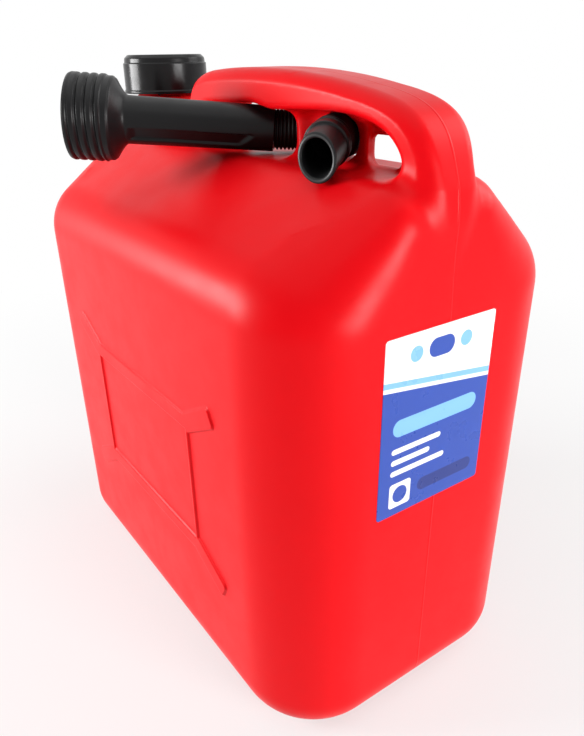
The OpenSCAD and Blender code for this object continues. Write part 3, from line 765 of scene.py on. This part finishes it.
def printed_patch(tree, across, up, middle, half, corner):
    """Mask of a rounded patch on the label, in millimetres from its lower left corner."""
    squares = []
    for value, at, reach in ((across, middle[0], half[0]), (up, middle[1], half[1])):
        d = math_node(tree, "ABSOLUTE", math_node(tree, "SUBTRACT", value, at))
        past = math_node(tree, "MAXIMUM", math_node(tree, "SUBTRACT", d, reach - corner), 0.0)
        squares.append(math_node(tree, "POWER", past, 2.0))
    off = math_node(tree, "SQRT", math_node(tree, "ADD", *squares))
    return ramp_node(tree, off, corner - PRINT_SOFT, corner + PRINT_SOFT, 1.0, 0.0)


def label_film():
    """Printed film: white head, slanted blue field and plain blocks, with a faint ripple."""
    finish, tree, shader, coords = new_finish("label_film")
    split = tree.nodes.new("ShaderNodeSeparateXYZ")
    tree.links.new(coords, split.inputs[0])
    across, up = [
        math_node(tree, "MULTIPLY", math_node(tree, "SUBTRACT", split.outputs[side], low), 1.0 / MM)
        for side, low in (("Y", LABEL_LEFT), ("Z", LABEL_LOW))]
    white, royal = (0.86, 0.87, 0.88, 1), (0.018, 0.062, 0.37, 1)
    pale, deep = (0.20, 0.46, 0.86, 1), (0.010, 0.028, 0.20, 1)
    slant = math_node(tree, "ADD", up, math_node(tree, "MULTIPLY", across, 0.14))
    colour = mix_colours(tree, ramp_node(tree, slant, 79.8, 80.1, 1.0, 0.0), white, royal)
    above = ramp_node(tree, slant, 82.2, 82.5, 0.0, 1.0)
    below = ramp_node(tree, slant, 85.6, 85.9, 1.0, 0.0)
    colour = mix_colours(tree, math_node(tree, "MULTIPLY", above, below), colour, pale)
    for middle, half, corner, ink in (
            ((40.5, 56.0), (32.0, 5.2), 5.2, pale),
            ((27.0, 42.0), (18.5, 1.7), 1.7, white),
            ((23.0, 35.0), (14.5, 1.7), 1.7, white),
            ((29.0, 28.0), (20.5, 1.7), 1.7, white),
            ((16.5, 13.0), (8.0, 8.0), 2.0, white),
            ((16.5, 13.0), (5.4, 5.4), 5.4, royal),
            ((52.0, 13.0), (22.0, 4.2), 4.2, deep),
            ((40.5, 97.0), (9.5, 5.5), 5.5, royal),
            ((22.0, 97.0), (4.5, 4.5), 4.5, pale),
            ((59.0, 97.0), (4.5, 4.5), 4.5, pale)):
        patch = printed_patch(tree, across, up, middle, half, corner)
        colour = mix_colours(tree, patch, colour, ink)
    cloud = noise_node(tree, coords, 90.0, 3.0)
    ripple = noise_node(tree, coords, 45.0, 2.0)
    wire(tree, shader, colour, ramp_node(tree, cloud, 0.3, 0.7, 0.26, 0.36),
         bump_node(tree, ripple, 0.10, 0.0008))
    return finish


def socket_group(name, sizes, count):
    """Geometry tree with a mesh input and output, a number for each size and a whole number."""
    tree = bpy.data.node_groups.new(name, "GeometryNodeTree")
    new_socket = tree.interface.new_socket
    for way in ("INPUT", "OUTPUT"):
        new_socket("Geometry", in_out=way, socket_type="NodeSocketGeometry")
    for size in sizes:
        new_socket(size, in_out="INPUT", socket_type="NodeSocketFloat")
    new_socket(count, in_out="INPUT", socket_type="NodeSocketInt")
    return tree, tree.nodes.new("NodeGroupInput"), tree.nodes.new("NodeGroupOutput")


def set_sizes(piece, tree, values):
    made = piece.modifiers.new(tree.name, "NODES")
    made.node_group = tree
    for item in tree.interface.items_tree:
        if item.in_out == "INPUT" and item.name in values:
            made[item.identifier] = values[item.name]


def plain_mesh(piece):
    """Turns the result of a piece's geometry tree into its own mesh."""
    bpy.context.view_layer.update()
    graph = bpy.context.evaluated_depsgraph_get()
    mesh = bpy.data.meshes.new_from_object(piece.evaluated_get(graph), depsgraph=graph)
    piece.modifiers.clear()
    old = piece.data
    piece.data = mesh
    bpy.data.meshes.remove(old)
    mesh.name = piece.name


def swept_skin(tree, path, profile, size, finish, result, caps):
    """Last nodes of a tree: a profile swept along a path, shaded smooth, in one finish."""
    link = tree.links.new
    skin = tree.nodes.new("GeometryNodeCurveToMesh")
    skin.inputs["Fill Caps"].default_value = caps
    link(path, skin.inputs["Curve"])
    link(profile, skin.inputs["Profile Curve"])
    link(size, skin.inputs["Scale"])
    smooth = tree.nodes.new("GeometryNodeSetShadeSmooth")
    link(skin.outputs["Mesh"], smooth.inputs["Geometry"])
    real = tree.nodes.new("GeometryNodeRealizeInstances")
    link(smooth.outputs["Geometry"], real.inputs["Geometry"])
    paint = tree.nodes.new("GeometryNodeSetMaterial")
    paint.inputs["Material"].default_value = finish
    link(real.outputs["Geometry"], paint.inputs["Geometry"])
    link(paint.outputs["Geometry"], result.inputs["Geometry"])


def unit_circle(tree):
    ring = tree.nodes.new("GeometryNodeCurvePrimitiveCircle")
    ring.inputs["Radius"].default_value = 1.0
    return ring


def fold_tree(finish):
    """Corrugated hose along a line, with its folds placed by length and its ends open."""
    tree, source, result = socket_group(
        "bellows_folds", ("Crest radius", "Fold depth", "Fold pitch", "Fold start", "Step"), "Sides")
    link, size = tree.links.new, source.outputs
    curve = tree.nodes.new("GeometryNodeMeshToCurve")
    link(size["Geometry"], curve.inputs["Mesh"])
    even = tree.nodes.new("GeometryNodeResampleCurve")
    even.mode = "LENGTH"
    link(curve.outputs["Curve"], even.inputs["Curve"])
    link(size["Step"], even.inputs["Length"])
    place = tree.nodes.new("GeometryNodeSplineParameter")
    since = math_node(tree, "SUBTRACT", place.outputs["Length"], size["Fold start"])
    folds = math_node(tree, "DIVIDE", since, size["Fold pitch"])
    turn = math_node(tree, "MULTIPLY", folds, 2 * math.pi)
    wave = math_node(tree, "MULTIPLY_ADD", math_node(tree, "COSINE", turn), 0.5, 0.5)
    crown = math_node(tree, "POWER", wave, 0.7)
    valley = math_node(tree, "SUBTRACT", 1.0, crown)
    low = math_node(tree, "MULTIPLY", valley, size["Fold depth"])
    radius = math_node(tree, "SUBTRACT", size["Crest radius"], low)
    ring = unit_circle(tree)
    link(size["Sides"], ring.inputs["Resolution"])
    swept_skin(tree, even.outputs["Curve"], ring.outputs["Curve"], radius, finish, result, False)
    return tree


def bellows_half(name, tree, first, last):
    """One stretch of the bellows, from length first to length last."""
    count = int((last - first) / 0.8)
    points = [spout_point(first + (last - first) * k / count) for k in range(count + 1)]
    mesh = bpy.data.meshes.new(name)
    mesh.from_pydata([tuple(p * MM) for p in points], [(k, k + 1) for k in range(count)], [])
    piece = add_object(name, mesh)
    folds_before = round(first / FOLD_PITCH)
    set_sizes(piece, tree, {
        "Crest radius": BELLOWS_R * MM, "Fold depth": FOLD_DEPTH * MM,
        "Fold pitch": FOLD_PITCH * MM, "Fold start": (folds_before * FOLD_PITCH - first) * MM,
        "Sides": 64, "Step": FOLD_PITCH / 8 * MM})
    plain_mesh(piece)
    tidy_mesh(piece.data)
    return piece


def thread_tree(finish):
    """Screw thread: a tapering ridge wound round the neck."""
    tree, source, result = socket_group(
        "neck_thread", ("Root radius", "Height", "Ridge", "Turns"), "Steps")
    wind = tree.nodes.new("GeometryNodeCurveSpiral")
    for size, socket in (("Steps", "Resolution"), ("Turns", "Rotations"), ("Height", "Height"),
                         ("Root radius", "Start Radius"), ("Root radius", "End Radius")):
        tree.links.new(source.outputs[size], wind.inputs[socket])
    place = tree.nodes.new("GeometryNodeSplineParameter").outputs["Factor"]
    near_end = math_node(tree, "MINIMUM", place, math_node(tree, "SUBTRACT", 1.0, place))
    taper = math_node(tree, "MULTIPLY", near_end, 18.0, clamp=True)
    least = math_node(tree, "MAXIMUM", taper, 0.05)
    radius = math_node(tree, "MULTIPLY", least, source.outputs["Ridge"])
    ring = unit_circle(tree)
    ring.inputs["Resolution"].default_value = 12
    swept_skin(tree, wind.outputs["Curve"], ring.outputs["Curve"], radius, finish, result, True)
    return tree


def neck_thread(finish):
    piece = add_object("neck_thread", bpy.data.meshes.new("neck_thread"))
    set_sizes(piece, thread_tree(finish), {
        "Root radius": (NECK_D / 2 + 0.1) * MM, "Height": THREAD_TURNS * THREAD_PITCH * MM,
        "Ridge": (THREAD_D - NECK_D) / 2 * 0.9 * MM, "Turns": THREAD_TURNS, "Steps": 64})
    plain_mesh(piece)
    place = Matrix.Translation((NECK_X * MM, 0, (NECK_TOP - THREAD_DOWN) * MM))
    piece.data.transform(place)
    tidy_mesh(piece.data)
    return piece


def screw_cap(finish):
    """Cap with a sunk top, a rounded shoulder, a foot and a threaded sleeve inside."""
    rim = CAP_D / 2
    foot, shell, sleeve, socket = rim + 0.6, rim - 3.0, SOCKET_D / 2 + 3.0, SOCKET_D / 2
    profile = rounded_line([
        (0.02, CAP_H - 0.7, 0), (rim - 8.5, CAP_H - 0.7, 0.4), (rim - 7.6, CAP_H, 0.5),
        (rim - 3.8, CAP_H, 1.8), (rim - 1.2, CAP_H - 2.4, 1.8),
        (rim - 0.9, CAP_H - 5.6, 0.4), (rim, CAP_H - 6.2, 0.6),
        (rim, 2.8, 0.5), (foot, 2.0, 0.5), (foot, 0.0, 0.4),
        (shell, 0.0, 0.4), (shell, CAP_H - 6.0, 0.8), (sleeve, CAP_H - 6.0, 0.8), (sleeve, 0.0, 0.4),
        (socket, 0.0, 0.4), (socket, CAP_H - 3.0, 0.3), (0.02, CAP_H - 3.0, 0)])
    return turned("cap_shell", profile, finish, np.array([NECK_X, 0.0, CAP_Z]), (0, 0, 1), 128)


def collar_radius(s, turn):
    """Outside of the collar at a length from its mouth: a wound groove, then a plain flange."""
    lip = smooth_step(0.0, 1.4, s)
    wave = ((s - GROOVE_FROM) / GROOVE_PITCH - turn / (2 * math.pi)) % 1.0
    valley = np.exp(-(((wave - 0.5) * GROOVE_PITCH) / GROOVE_W) ** 2)
    ends = smooth_step(0.6, 2.6, s - GROOVE_FROM) * smooth_step(22.6, 21.2, s)
    flange = smooth_step(21.6, 22.6, s)
    groove = GROOVE_DEPTH * valley * ends * (1 - flange)
    edge = COLLAR_EDGE * smooth_step(COLLAR_L - 1.4, COLLAR_L, s)
    return COLLAR_R - LIP_EDGE * (1 - lip) - groove - flange * FLANGE_STEP - edge


def tube_radius(s, turn, run):
    """Outside of the cone and the tube, with a flute on each side that stops on a slant."""
    flare = max(0.0, 1.0 - (s - COLLAR_L) / CONE_L / 1.3)
    straight = TUBE_R + (TUBE_END_R - TUBE_R) * max(0.0, (s - COLLAR_L - CONE_L) / TUBE_L)
    foot = COLLAR_R - FLANGE_STEP - COLLAR_EDGE - TUBE_R
    r = np.full(len(turn), straight + foot * flare ** FLARE_POWER)
    along = smooth_step(CONE_END + 3.0, CONE_END + 7.0, s)
    for middle in (-FLUTE_TURN, FLUTE_TURN):
        off = (turn - middle + math.pi) % (2 * math.pi) - math.pi
        arc = off * straight
        stop = run - FLUTE_STOP + arc * FLUTE_SLANT * np.sign(middle)
        cut = smooth_step(4.6, 3.7, np.abs(arc)) * along * smooth_step(stop + 1.4, stop - 1.4, s)
        flat = (TUBE_END_R - 1.8) / np.maximum(np.cos(off), 0.5)
        r = r - np.maximum(straight - np.minimum(straight, flat), FLUTE_LEAST) * cut
    return r


def spout_body(finish):
    """Collar with its moulded thread, cone and fluted tube, as one skin by angle and length."""
    run = CONE_END + TUBE_L
    axis = aim_of(TUBE_HEADING, TUBE_SLOPE)
    base = spout_point(0.0) - run * axis
    drop = math.sin(TUBE_SLOPE)
    down = np.array([-drop * math.cos(TUBE_HEADING), -drop * math.sin(TUBE_HEADING),
                     -math.cos(TUBE_SLOPE)])
    side = np.cross(axis, down)
    count = 144
    turn = np.arange(count) * 2 * math.pi / count
    around = np.cos(turn)[:, None] * down + np.sin(turn)[:, None] * side
    places = np.concatenate([np.linspace(0, COLLAR_L, 82),
                             np.linspace(COLLAR_L, CONE_END + 2, 14)[1:],
                             np.linspace(CONE_END + 2, run, 70)[1:]])
    rings = []
    for s in places:
        r = collar_radius(s, turn) if s <= COLLAR_L else tube_radius(s, turn, run)
        rings.append(base + s * axis + r[:, None] * around)
    for s, r in ((run, TUBE_BORE_R), *COLLAR_INSIDE):
        rings.append(base + s * axis + r * around)
    piece = mesh_piece("spout_body", np.vstack(rings), ring_faces(len(rings), count), finish)
    tidy_mesh(piece.data)
    piece.data.set_sharp_from_angle(angle=math.radians(40))
    return piece


def spout_end(finish):
    """Nozzle: a ring, a short pipe and a mouth cut on a slant."""
    bore, mouth = NOZZLE_R - NOZZLE_WALL, RING_L + NOZZLE_L
    profile = rounded_line([
        (RING_R, 0.3, 0.6), (RING_R, RING_L, 0.9), (NOZZLE_R, RING_L + 0.4, 0.6),
        (NOZZLE_R, mouth, 1.2), (bore, mouth, 1.2), (bore, 0.3, 0.3)])
    slant = aim_of(TIP_HEADING, -TIP_RISE), RING_L + NOZZLE_L / 2
    return turned("nozzle_tip", profile, finish, spout_point(BELLOWS_L),
                  aim_of(NOZZLE_HEADING, NOZZLE_SLOPE), 96, slant)


def background_rays(tree):
    """One for the rays that show the pale background: seen, mirrored or let through."""
    path = tree.nodes.new("ShaderNodeLightPath").outputs
    mirrored = math_node(tree, "ADD", path["Is Glossy Ray"], path["Is Transmission Ray"])
    return math_node(tree, "ADD", path["Is Camera Ray"], mirrored, clamp=True)


def make_stage():
    """Paper floor: it keeps the can's shadow, and turns to plain white further off."""
    mesh = bpy.data.meshes.new("floor")
    h = FLOOR_HALF
    mesh.from_pydata([(-h, -h, 0), (h, -h, 0), (h, h, 0), (-h, h, 0)], [], [(0, 1, 2, 3)])
    floor = add_object("floor", mesh)
    finish = bpy.data.materials.new("floor_paper")
    finish.use_nodes = True
    tree = finish.node_tree
    tree.nodes.clear()
    out = tree.nodes.new("ShaderNodeOutputMaterial")
    paper = tree.nodes.new("ShaderNodeBsdfDiffuse")
    paper.inputs["Color"].default_value = FLOOR_GREY
    white = tree.nodes.new("ShaderNodeEmission")
    white.inputs["Strength"].default_value = 1.0
    coords = tree.nodes.new("ShaderNodeTexCoord").outputs["Object"]
    far = tree.nodes.new("ShaderNodeVectorMath")
    far.operation = "LENGTH"
    tree.links.new(coords, far.inputs[0])
    share = ramp_node(tree, far.outputs["Value"], WHITE_NEAR, WHITE_FAR, WHITE_LEAST, 1.0)
    mix = tree.nodes.new("ShaderNodeMixShader")
    tree.links.new(math_node(tree, "MULTIPLY", background_rays(tree), share), mix.inputs[0])
    tree.links.new(paper.outputs[0], mix.inputs[1])
    tree.links.new(white.outputs[0], mix.inputs[2])
    tree.links.new(mix.outputs[0], out.inputs["Surface"])
    mesh.materials.append(finish)


def make_world():
    """White room, which lights the can only faintly."""
    world = bpy.data.worlds.new("studio")
    bpy.context.scene.world = world
    world.use_nodes = True
    tree = world.node_tree
    tree.nodes.clear()
    out = tree.nodes.new("ShaderNodeOutputWorld")
    room = tree.nodes.new("ShaderNodeBackground")
    room.inputs["Color"].default_value = (1.0, 1.0, 1.0, 1)
    strength = ramp_node(tree, background_rays(tree), 0.0, 1.0, ROOM_LIGHT, ROOM_WHITE)
    tree.links.new(strength, room.inputs["Strength"])
    tree.links.new(room.outputs[0], out.inputs["Surface"])


def soft_box(name, place, target, size, power):
    light = bpy.data.lights.new(name, "AREA")
    light.shape = "RECTANGLE"
    light.size, light.size_y = size
    light.energy = power
    holder = add_object(name, light)
    holder.location = place
    holder.rotation_euler = (Vector(target) - Vector(place)).to_track_quat("-Z", "Y").to_euler()


def make_camera():
    lens = bpy.data.cameras.new("camera")
    lens.sensor_width, lens.lens, lens.clip_start = SENSOR, LENS, 0.01
    camera = add_object("camera", lens)
    turn = Matrix([Vector(axis) for axis in CAMERA_TURN]).transposed().to_4x4()
    camera.matrix_world = Matrix.Translation(CAMERA_PLACE) @ turn
    bpy.context.scene.camera = camera


def dress(node, finish):
    """Gives a CAD solid its finish."""
    mesh = nodes[node].data
    mesh.materials.clear()
    mesh.materials.append(finish)


make_camera()
make_world()
for lamp in LAMPS:
    soft_box(*lamp)
make_stage()
bpy.context.scene.view_settings.view_transform = "Standard"

red = red_plastic()
spout_black = black_plastic("spout_polyethylene", 0.30, 0.42, 900.0)
cap_black = black_plastic("cap_plastic", 0.19, 0.27, 500.0)
rubber = gasket_rubber()

body = moulded_tank(red)
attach(body, "tank")
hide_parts("tank")

thread = neck_thread(red)
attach(thread, "tank")

cap = screw_cap(cap_black)
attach(cap, "cap")
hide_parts("cap")

tube = spout_body(spout_black)
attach(tube, "spout")
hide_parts("spout_tube")

folds = fold_tree(spout_black)
split = BELLOWS_IN + BEND_L / 2
near_half = bellows_half("bellows_near", folds, 0.0, split)
far_half = bellows_half("bellows_far", folds, split, BELLOWS_L)
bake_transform(near_half)
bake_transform(far_half)
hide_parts("spout_bellows")
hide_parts("spout_bellows")

tip = spout_end(spout_black)
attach(tip, "nozzle")
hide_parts("spout_nozzle")

dress("label", label_film())
dress("cap_gasket", rubber)
dress("spout_gasket", rubber)
